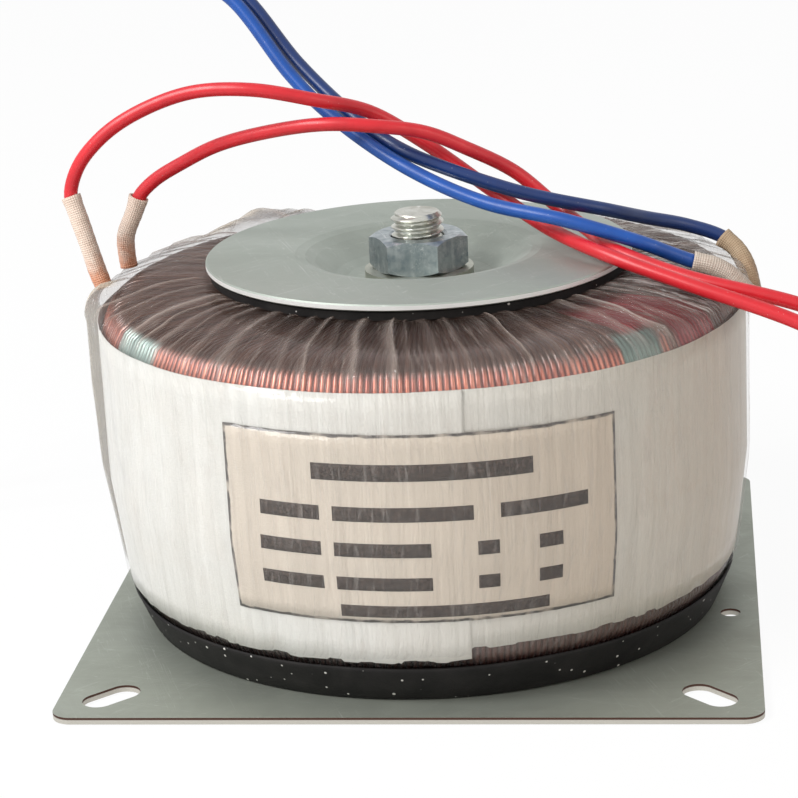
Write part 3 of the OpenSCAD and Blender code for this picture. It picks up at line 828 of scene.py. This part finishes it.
# Colours: clean, painted fold shade, stain, and painted warm shade for the right side.
band_paper, tree, colour, normal = paper("band_paper", (0.74, 0.735, 0.70), (0.60, 0.595, 0.56),
                                         (0.66, 0.62, 0.56), (0.74, 0.645, 0.52))
principled(tree, Base_Color=colour, Roughness=0.55, Coat_Weight=0.35, Normal=normal)

# Colours: clean, painted fold shade, stain, and painted warm shade for the right side.
slip_paper, tree, colour, normal = paper("slip_paper", (0.66, 0.575, 0.48), (0.53, 0.455, 0.375),
                                         (0.56, 0.50, 0.42), (0.84, 0.75, 0.64))
along, up_it, _ = split(tree, uv_point(tree, "slip"))
from_edge = []
for share, size in ((along, LABEL_WIDE), (up_it, LABEL_TALL)):
    place = times(tree, share, size)
    from_edge.append(maths(tree, "MINIMUM", place, maths(tree, "SUBTRACT", size, place)))
inside = maths(tree, "MINIMUM", *from_edge)
uneven = times(tree, noise_value(tree, object_point(tree), 0.55, 3.0), 0.5)
line = ramp(tree, plus(tree, inside, uneven), 0.56, 0.72, 1.0, 0.0)
faint = ramp(tree, noise_value(tree, object_point(tree), 0.35, 2.0), 0.32, 0.5, 0.35, 1.0)
colour = mix(tree, times(tree, line, faint), colour, (0.035, 0.025, 0.02))
principled(tree, Base_Color=colour, Roughness=0.5, Coat_Weight=0.35, Normal=normal)

ink, tree = new_material("ink")
grain = noise_value(tree, object_point(tree), 2.6, 3.0)
colour = mix(tree, ramp(tree, grain, 0.45, 0.8), (0.022, 0.012, 0.009),
             (0.10, 0.065, 0.05))
principled(tree, Base_Color=colour, Roughness=0.6, Specular_IOR_Level=0.2)
print("papers: 2, ink: 1")


# %% Paper band
def band_edges(a, share):
    """The band's edges. The lower one is puckered in steps and has small tears."""
    drop = BAND["skew"] * (1 - share)
    pucker = 0.22 * noise.cell(Vector((a / 2.6, 0.5, 0.5))) + 0.25 * waver(a / 5, 0, 7)
    tear = 0.5 * max(0.0, waver(a / 1.7, 3, 2) - 0.25)
    top = 0.15 * waver(4 * math.cos(math.radians(a)), 4 * math.sin(math.radians(a)), 1)
    return BAND["low"] + drop + 0.25 + pucker + tear, BAND["high"] - 0.2 + top


def band_lift(a, z):
    """The band's inner radius. It rises over its own start, and is a little creased."""
    rise = LAP_RISE * max(0.0, 1 + min(0.0, a - BAND["start"] - 360) / 16)
    crease = 0.05 * waver(a / 1.3, z / 30, 1)
    return BAND["r"] + rise + max(crease, -0.03) - wall_in(z)


bent_sheet("paper_wrap", span(BAND["start"], BAND["start"] + BAND_TURN), band_edges, band_lift,
           BAND["thick"], band_paper, "paper_band", ["paper_band"])


# %% Label slip and its bars
def label_edges(a, share):
    tilt = LABEL["tilt"] * (0.5 - share)
    ragged = 0.08 * waver(a / 2, 1, 1)
    return LABEL["low"] + tilt + ragged, LABEL["high"] + tilt - ragged


def label_lift(a, z):
    crease = 0.03 * waver(a / 1.1, z / 30, 8)
    return LABEL["r"] + climb(a) + max(crease, -0.01) - wall_in(z)


def bar_lift(a, z):
    return label_lift(a, z) + LABEL["thick"] + INK_GAP


bent_sheet("blank_slip", span(LABEL["start"], LABEL["end"]), label_edges, label_lift,
           LABEL["thick"], slip_paper, "label_paper", ["rating_label"])

BARS = [  # height of the row, height of its bars, and each bar's directions
    (36.4, 2.4, [(-103, -67)]),
    (30.4, 2.1, [(-112.5, -102), (-99.8, -77), (-72.6, -57.5)]),
    (25.2, 2.0, [(-112.8, -102), (-99.8, -84), (-76.5, -73.0), (-66.3, -62.2)]),
    (20.1, 2.0, [(-113, -102), (-99.8, -84), (-76.5, -73.0), (-66.3, -62.2)]),
    (15.9, 1.8, [(-99.5, -64.5)]),
]
for row, (middle, tall, runs) in enumerate(BARS, 1):
    def bar_edges(a, share):
        tilt = LABEL["tilt"] * (0.5 - (a - LABEL["start"]) / LABEL_TURN)
        return middle - tall / 2 + tilt, middle + tall / 2 + tilt

    for run, (start, end) in enumerate(runs, 1):
        bent_sheet(f"bar_{row}_{run}", span(start, end, 1.0), bar_edges, bar_lift, INK_THICK, ink,
                   "label_paper", rows=BAR_ROWS)

# %% [markdown]
# ## Pleated film
# The last layer is clear film, wound round the ring through the bore like a bandage. Its turns
# overlap, so it lies in pleats: high on the top and the shoulder, faint down the wall. The
# piece is one closed sheet. Each pleat rises slowly and drops sharply, has its own width and
# height, and swings round a little on its way outwards.

# %% Film surface
PLEATS, PLEAT_SAMPLES, PLEAT_H = 72, 12, 0.8
PLEATS_ROUND = PLEATS * PLEAT_SAMPLES
RING_R, WALL_R, TOP_Z, FLAT_Z = 49.3, 49.08, 52.6, 2.6
HEEL_IN, FLAT_R = 5.4, 40.8
TUCK_FROM, TUCK_R, TUCK_SLOPE = 7.9, 46.75, 0.55
BORE_R, BORE_BEND, BEND_HIGH, BEND_LOW = 18.2, 6.0, 46.6, 8.6
SHOULDER_R, SHOULDER_BEND, SHOULDER_Z = 46.1, 3.2, 47.6


def heel(z):
    """Radius of the film at the ring's heel: a quarter of a tall ellipse, held to the paper."""
    drop = (WALL_FOOT - z) / (WALL_FOOT - FLAT_Z)
    ellipse = RING_R - HEEL_IN * (1 - math.sqrt(max(0.0, 1 - drop * drop)))
    turned_under = TUCK_R - TUCK_SLOPE * (TUCK_FROM - z)
    return min(ellipse, WALL_R - wall_in(z), turned_under if z < TUCK_FROM else ellipse)


def bend(centre_r, centre_z, radius, angles, shares=None):
    """Rows of the film's section round a bend."""
    rows = []
    for k, angle in enumerate(angles):
        a = math.radians(angle)
        rows.append((centre_r + radius * math.cos(a), centre_z + radius * math.sin(a), angle,
                     shares(k) if shares else 0))
    return rows


# Each row of the section is its radius, its height, the way that it faces in degrees, and the
# share of the pleats' height that it shows. It starts in the bore and goes up, over and down.
film_outline = [(BORE_R, 30, 180, 0), (BORE_R, BEND_HIGH, 180, 0)]
film_outline += bend(BORE_R + BORE_BEND, BEND_HIGH, BORE_BEND, range(165, 89, -15))
film_outline += [(31.0, TOP_Z, 90, 0), (31.7, TOP_Z + 0.25, 100, 0.3),
                 (32.6, TOP_Z + 0.55, 95, 0.6)]
film_outline += [(33.6 + 1.2 * k, TOP_Z + 0.62 - 0.022 * k * k, 90 - 2 * k,
                  0.75 + 0.03 * min(k, 8)) for k in range(10)]
film_outline += bend(SHOULDER_R, SHOULDER_Z, SHOULDER_BEND, range(62, 2, -7),
                     lambda k: 0.95 - 0.055 * k)
film_outline += [(WALL_R, z, 0, 0.38 - 0.012 * k) for k, z in enumerate(
    (46.8, 45.6, 44.4, 43, 41.4, 39.6, 37.6, 35.4, 33, 30.6, 28.2, 26))]
film_outline += [(min(WALL_R, heel(z)), z, max(-80, -1.6 * (22 - z)), 0.22)
                 for z in (24, 21.5, 19, 16.5, 14.5, 12.5, 10.8, 9.4)]
film_outline += [(heel(z), z, -45 - 8 * (7.4 - z), 0) for z in (7.4, 6, 5, 3.9, 3.1)]
film_outline += [(FLAT_R, FLAT_Z, -90, 0), (BORE_R + BORE_BEND, FLAT_Z, -90, 0)]
film_outline += bend(BORE_R + BORE_BEND, BEND_LOW, BORE_BEND, range(-105, -181, -15))
film_along = running_length([row[:2] for row in film_outline])

cloth = random.Random(21)
size = [cloth.uniform(0.35, 1.0) for _ in range(PLEATS)]
shift = [cloth.uniform(-0.4, 0.4) for _ in range(PLEATS)]
crest_at = [cloth.uniform(0.55, 0.85) for _ in range(PLEATS)]
strong_low = [cloth.random() for _ in range(PLEATS)]


def hump(a, centre, width):
    """A smooth rise of 1 at a direction, which fades out within its width in degrees."""
    off = abs((a - centre + 540) % 360 - 180)
    return 0.0 if off > width else math.cos(math.pi / 2 * off / width) ** 2


def pleat_height(p, t, a, row):
    """The film's rise at a place, in mm, and how near it is to a pleat's crest."""
    r, z, _, share = film_outline[row]
    length = film_along[row]
    crest = crest_at[p]
    form = (t / crest) ** 1.4 if t < crest else 1 - ((t - crest) / (1 - crest)) ** 0.8
    lower = 1.0 if z > 46 else 0.45 + 1.2 * strong_low[p] ** 2
    rise = PLEAT_H * size[p] * share * form * lower
    crumple = 0.34 * share * waver(a / 2.3, length / 6, 4)
    crumple += 0.16 * share * waver(a / 0.9, length / 4, 9)
    rough_side = hump(a, 3, 36) * (1 if 33 < r and z > 43 else 0)
    crumple += 0.55 * rough_side * waver(a / 2.2, length / 2.2, 15)
    ridge = 1.5 * hump(a, 187, 9) * within((z - 4) / 34) * within((r - 43) / 3)
    on_top = math.sin(math.pi * (r - 33) / 16) if z > 46 and r > 33 else 0
    fold = 1.8 * hump(a, 133, 17) * on_top
    return max(rise + crumple, -0.12 * share) + ridge + fold, form * size[p]


points, crests = [], []
for row, (r, z, way, share) in enumerate(film_outline):
    swing = 2.5 * within((r - 33) / 13) + 1.4 * math.sin(film_along[row] / 9)
    w = math.radians(way)
    for p in range(PLEATS):
        for k in range(PLEAT_SAMPLES):
            t = k / PLEAT_SAMPLES
            squeeze = shift[p] * (1 - t) + shift[(p + 1) % PLEATS] * t
            a = (p + t + squeeze) * 360 / PLEATS + (swing if share else 0)
            a += 0.8 * share * waver(p * 0.7, film_along[row] / 7, 2)
            rise, crest = pleat_height(p, t, a, row)
            points.append(polar(a, r + rise * math.cos(w), z + rise * math.sin(w)))
            crests.append(crest * min(1, share * 1.5))
faces = grid_faces(len(film_outline), PLEATS_ROUND, close_rows=True)
print("film:", len(film_outline), "rows of", PLEATS_ROUND, "points")

# %% [markdown]
# ## Rubber cup
# The lower pad is turned up round the heel of the ring. Its section is carried round the bolt:
# a flat foot, a wall that leans out, and a lip that lies against the film. Its inside follows
# the film's heel, so it is worked out from the same rule.

# %% Lower pad
CUP_BORE, CUP_FOOT, CUP_GAP, CUP_PLAY, CUP_SIDES = 20.5, 1.0, 0.06, 0.03, 144
cup = [(CUP_BORE, CUP_FOOT), (43.6, CUP_FOOT), (44.2, 1.25), (45.1, 3.2), (46.2, 5.9),
       (46.45, 6.4), (46.3, 6.75)]
cup += [(heel(z) + CUP_GAP, z) for z in (6.6, 6.0, 5.0, 3.9, 3.1)]
cup += [(FLAT_R, FLAT_Z - CUP_PLAY), (CUP_BORE, FLAT_Z - CUP_PLAY)]


def lip_ripple(k):
    """The cup's lip isn't cut quite level."""
    a = 2 * math.pi * k / CUP_SIDES
    return 0.12 * waver(3 * math.cos(a), 3 * math.sin(a), 8)


cup_points = [polar(360 * k / CUP_SIDES, r, z + (lip_ripple(k) if 5.5 < z and r > 45 else 0))
              for r, z in cup for k in range(CUP_SIDES)]
make_piece("rubber_cup", cup_points, grid_faces(len(cup), CUP_SIDES, close_rows=True), rubber,
           "rubber", ["bottom_rubber_pad"])

# %% [markdown]
# ## Film finish
# The film is clear, so most of what it shows is light that slides off its creases. Its finish
# is mostly see-through, less so along the crests of the pleats, where it lies double, and over
# the two places where a cream sleeve and a loose fold lift it. A fine upright crinkle breaks
# the reflections into streaks. Its colour also holds painted light: painted shade makes it
# dark over the top and near black at its foot, and painted highlight lightens crests and streaks.

# %% Film
film, tree = new_material("clear_film")
heading, radius, height = use_group(tree, ring_place).outputs
sheet = uv_point(tree, "sheet")
crinkle = noise_value(tree, scaled(tree, sheet, (1.6, 0.16, 1.0)), 1.0, 5.0, 0.62, 0.5)
fine = noise_value(tree, scaled(tree, sheet, (5.0, 0.35, 1.0)), 1.0, 3.0, 0.6)
streak = ramp(tree, crinkle, 0.52, 0.72)
crest = maths(tree, "POWER", split(tree, uv_point(tree, "pleat"))[0], 2.0)
lid = ramp(tree, height, 49.0, 51.0)
foot = ramp(tree, height, 6.5, 9.0)
ridge = larger(tree, between(tree, heading, -181.0, -171.0, 2.5),
               between(tree, heading, 181.0, 200.0, 2.0))
ridge = times(tree, ridge, ramp(tree, radius, 44.0, 47.0))
fold = times(tree, between(tree, heading, 112.0, 150.0, 8.0), ramp(tree, height, 50.0, 52.0))
fold = times(tree, fold, ramp(tree, radius, 38.0, 43.0))
cream = larger(tree, times(tree, ridge, 0.8), times(tree, fold, 0.7))
crumpled = times(tree, times(tree, between(tree, heading, -30.0, 42.0, 6.0), lid),
                 ramp(tree, crinkle, 0.42, 0.6))

alpha = plus(tree, ramp(tree, lid, 0.0, 1.0, 0.10, 0.22),
             times(tree, crest, ramp(tree, lid, 0.0, 1.0, 0.10, 0.42)))
alpha = plus(tree, alpha, times(tree, streak, 0.22))
alpha = times(tree, alpha, ramp(tree, foot, 0.0, 1.0, 0.35, 1.0))
alpha = larger(tree, alpha, larger(tree, cream, times(tree, crumpled, 0.7)))

# Painted shade: over the top the film's own colour is dark brown, for the dark surroundings that
# it reflects there. On the wall it is pale.
colour = mix(tree, lid, (0.66, 0.65, 0.62), (0.13, 0.080, 0.064))
# Lighter along the pleats' crests, partly for the doubled film and partly as painted highlight,
# and along the crinkle streaks as painted highlight.
double_film_and_highlight = larger(tree, crest, times(tree, streak, 0.8))
colour = mix(tree, times(tree, double_film_and_highlight, 0.8), colour, (0.64, 0.53, 0.46))
# Painted shade: below about 9 mm the film darkens to near black, for the shadow under the ring's
# heel.
colour = mix(tree, foot, (0.05, 0.04, 0.04), colour)
colour = mix(tree, crumpled, colour, (0.74, 0.70, 0.66))
colour = mix(tree, cream, colour, (0.76, 0.66, 0.52))
relief = plus(tree, crinkle, times(tree, fine, 0.35))
principled(tree, Base_Color=colour, Roughness=0.15, Alpha=alpha, Specular_IOR_Level=0.75,
           Normal=bump(tree, relief, 0.6, 0.9))

wrap = make_piece("pleated_film", points, faces, film, "clear_film", ["outer_film_wrap"])
grid_uv(wrap, "sheet", PLEATS_ROUND,
        lambda column, row: (column / PLEATS_ROUND * 2 * math.pi * RING_R, film_along[row]))
grid_uv(wrap, "pleat", PLEATS_ROUND,
        lambda column, row: (crests[row * PLEATS_ROUND + column % PLEATS_ROUND], 0.5))

# %% [markdown]
# ## Insulation of the leads
# Soft PVC is smooth and slightly waxy. Its colour is even, but handling leaves faint dull
# patches, and a long lead is never quite straight or quite clean.


# %% PVC finishes and the leads
def pvc(name, colour, wear_and_fold_shade):
    """A smooth even colour, dulled in patches, with a few specks of dust."""
    material, tree = new_material(name)
    mask, grain = mottled(tree, 5.0, 1.2)
    specks = use_group(tree, dust, Amount=0.35, Speck_mm=0.35)
    mixed = mix(tree, mask, colour, wear_and_fold_shade)
    mixed = mix(tree, times(tree, specks.outputs["Mask"], 0.25), mixed,
                (0.85, 0.82, 0.80))
    principled(tree, Base_Color=mixed, Roughness=ramp(tree, mask, 0.0, 1.0, 0.30, 0.44),
               Normal=bump(tree, grain, 0.015, 0.5))
    return material


red_pvc = pvc("red_pvc", (0.66, 0.018, 0.028), (0.54, 0.012, 0.020))
dark_blue_pvc = pvc("dark_blue_pvc", (0.004, 0.030, 0.145), (0.003, 0.020, 0.105))
light_blue_pvc = pvc("light_blue_pvc", (0.004, 0.080, 0.38), (0.003, 0.058, 0.29))
LEAD_FINISH = {"red_lead_1": (red_pvc, "lead_red"), "red_lead_2": (red_pvc, "lead_red"),
               "blue_lead_1": (dark_blue_pvc, "lead_blue"),
               "blue_lead_2": (light_blue_pvc, "lead_blue")}
LEAD_SIDES = 20

leads, lead_lines = {}, {}
for name, route in ROUTES.items():
    before_mouth, mouth = (Vector(p) for p in SLEEVES[name][1][-2:])
    seat = Vector(route[0]) - SEAT * (mouth - before_mouth).normalized()
    lead_lines[name] = smooth_line([tuple(seat)] + route)
    points, faces = sweep(lead_lines[name], LEAD_D / 2, LEAD_SIDES)
    leads[name] = make_piece("insulated_" + name, points, faces, *LEAD_FINISH[name], [name])

# %% [markdown]
# ## Glass-fibre sleeves
# Each lead leaves the ring inside a short sleeve of woven glass fibre. The weave is two sets
# of flat strands that cross on a slant. The tube itself is swept, and the crossing strands
# press its surface in and out a little, with more relief in the finish.

# %% Glass-fibre finish and the sleeves
def braid_finish(name, colour, shade, varnish):
    """Cream strands with darker gaps, and orange varnish near the ring."""
    material, tree = new_material(name)
    round_it, along, _ = split(tree, uv_point(tree, "wrap"))
    waves = []
    for sign in ("ADD", "SUBTRACT"):
        slant = maths(tree, sign, times(tree, round_it, 13.0), times(tree, along, 1.5))
        waves.append(maths(tree, "SINE", times(tree, slant, 2 * math.pi)))
    weave = ramp(tree, times(tree, *waves), -0.7, 0.7)
    mask = mottled(tree, 2.2, 1.4)[0]
    mixed = mix(tree, times(tree, weave, mask), shade, colour)
    low = ramp(tree, plus(tree, along, times(tree, mask, 3.0)), 2.5, 7.0, 0.85, 0.0)
    mixed = mix(tree, low, mixed, varnish)
    principled(tree, Base_Color=mixed, Roughness=ramp(tree, low, 0.0, 0.8, 0.7, 0.35),
               Normal=bump(tree, weave, 0.10, 0.8))
    return material


pale_braid = braid_finish("pale_braid", (0.84, 0.71, 0.61), (0.70, 0.54, 0.44),
                          (0.62, 0.23, 0.11))
tan_braid = braid_finish("tan_braid", (0.56, 0.43, 0.29), (0.42, 0.30, 0.19), (0.30, 0.17, 0.09))
blue_side_braid = braid_finish("blue_side_braid", (0.80, 0.72, 0.64), (0.56, 0.46, 0.38),
                               (0.55, 0.44, 0.36))
SLEEVE_FINISH = {"red_lead_1": pale_braid, "red_lead_2": pale_braid, "blue_lead_1": tan_braid,
                 "blue_lead_2": blue_side_braid}
SLEEVE_SIDES = 36
MOUTH_DEPTH = 2.6

sleeves = {}
for name, (node, route) in SLEEVES.items():
    line = smooth_line(route, SLEEVE_STEP)
    phase = random.Random(node).uniform(0, 6)

    def braid_radius(share, a):
        """The sleeve's radius: pressed by its strands, a little lumpy, and flared at its mouth."""
        press = 0.035 * math.sin(9 * a + 30 * share) * math.sin(9 * a - 30 * share)
        lump = 0.05 * math.sin(2 * a + phase + 5 * share) * math.sin(7 * share + phase)
        flare = 0.16 * max(0.0, share - 0.86) / 0.14
        return SLEEVE_D / 2 - 0.06 + press + lump + flare * (1 + 0.3 * math.sin(5 * a))

    points, faces = sweep(line, braid_radius, SLEEVE_SIDES, capped=False)
    mouth, way = line[-1], (line[-1] - line[-2]).normalized()
    for depth, gap in ((0.0, 0.2), (MOUTH_DEPTH, 0.15)):
        points += [mouth - way * depth + (p - mouth).normalized() * (LEAD_D / 2 + gap)
                   for p in points[-SLEEVE_SIDES:]]
    rows = len(line) + 2
    sleeves[name] = make_piece("braided_" + node, points,
                               grid_faces(rows, SLEEVE_SIDES) + end_faces(rows, SLEEVE_SIDES),
                               SLEEVE_FINISH[name], "sleeve_glass_fibre", [node])
    lengths = running_length(line)
    lengths += [lengths[-1], lengths[-1] - MOUTH_DEPTH]
    grid_uv(sleeves[name], "wrap", SLEEVE_SIDES,
            lambda column, row: (column / SLEEVE_SIDES, lengths[row]))

# %% [markdown]
# ## Tinned ends
# A lead's stripped end is a bundle of thin tinned strands with a slight twist. Seven round
# strands, six round one, pack into the smallest round bundle, and each is a helix.

# %% Strands
tinned, tree = new_material("tinned")
mask = mottled(tree, 1.5, 1.2)[0]
principled(tree, Base_Color=mix(tree, mask, (0.72, 0.72, 0.70), (0.55, 0.55, 0.54)),
           Metallic=1.0, Roughness=ramp(tree, mask, 0.0, 1.0, 0.25, 0.42))
TIP_LENGTH, STRAND_R, STRAND_SIDES, STRAND_STEPS = 6.0, 0.22, 8, 18

for name, line in lead_lines.items():
    end, way = line[-1], (line[-1] - line[-2]).normalized()
    side = way.cross(Vector((0, 0, 1))).normalized()
    over = way.cross(side)
    points, faces = [], []
    for strand in range(7):
        out = 0.0 if strand == 0 else 2 * STRAND_R
        helix = []
        for k in range(STRAND_STEPS + 1):
            a = 2 * math.pi * (strand / 6 + 0.5 * k / STRAND_STEPS)
            helix.append(end + way * (TIP_LENGTH * k / STRAND_STEPS - 0.01)
                         + out * (math.cos(a) * side + math.sin(a) * over))
        some, joined = sweep(helix, STRAND_R, STRAND_SIDES)
        faces += [tuple(v + len(points) for v in f) for f in joined]
        points += some
    node = name.replace("lead", "tip")
    make_piece("strands_" + node, points, faces, tinned, "tinned_copper", [node])
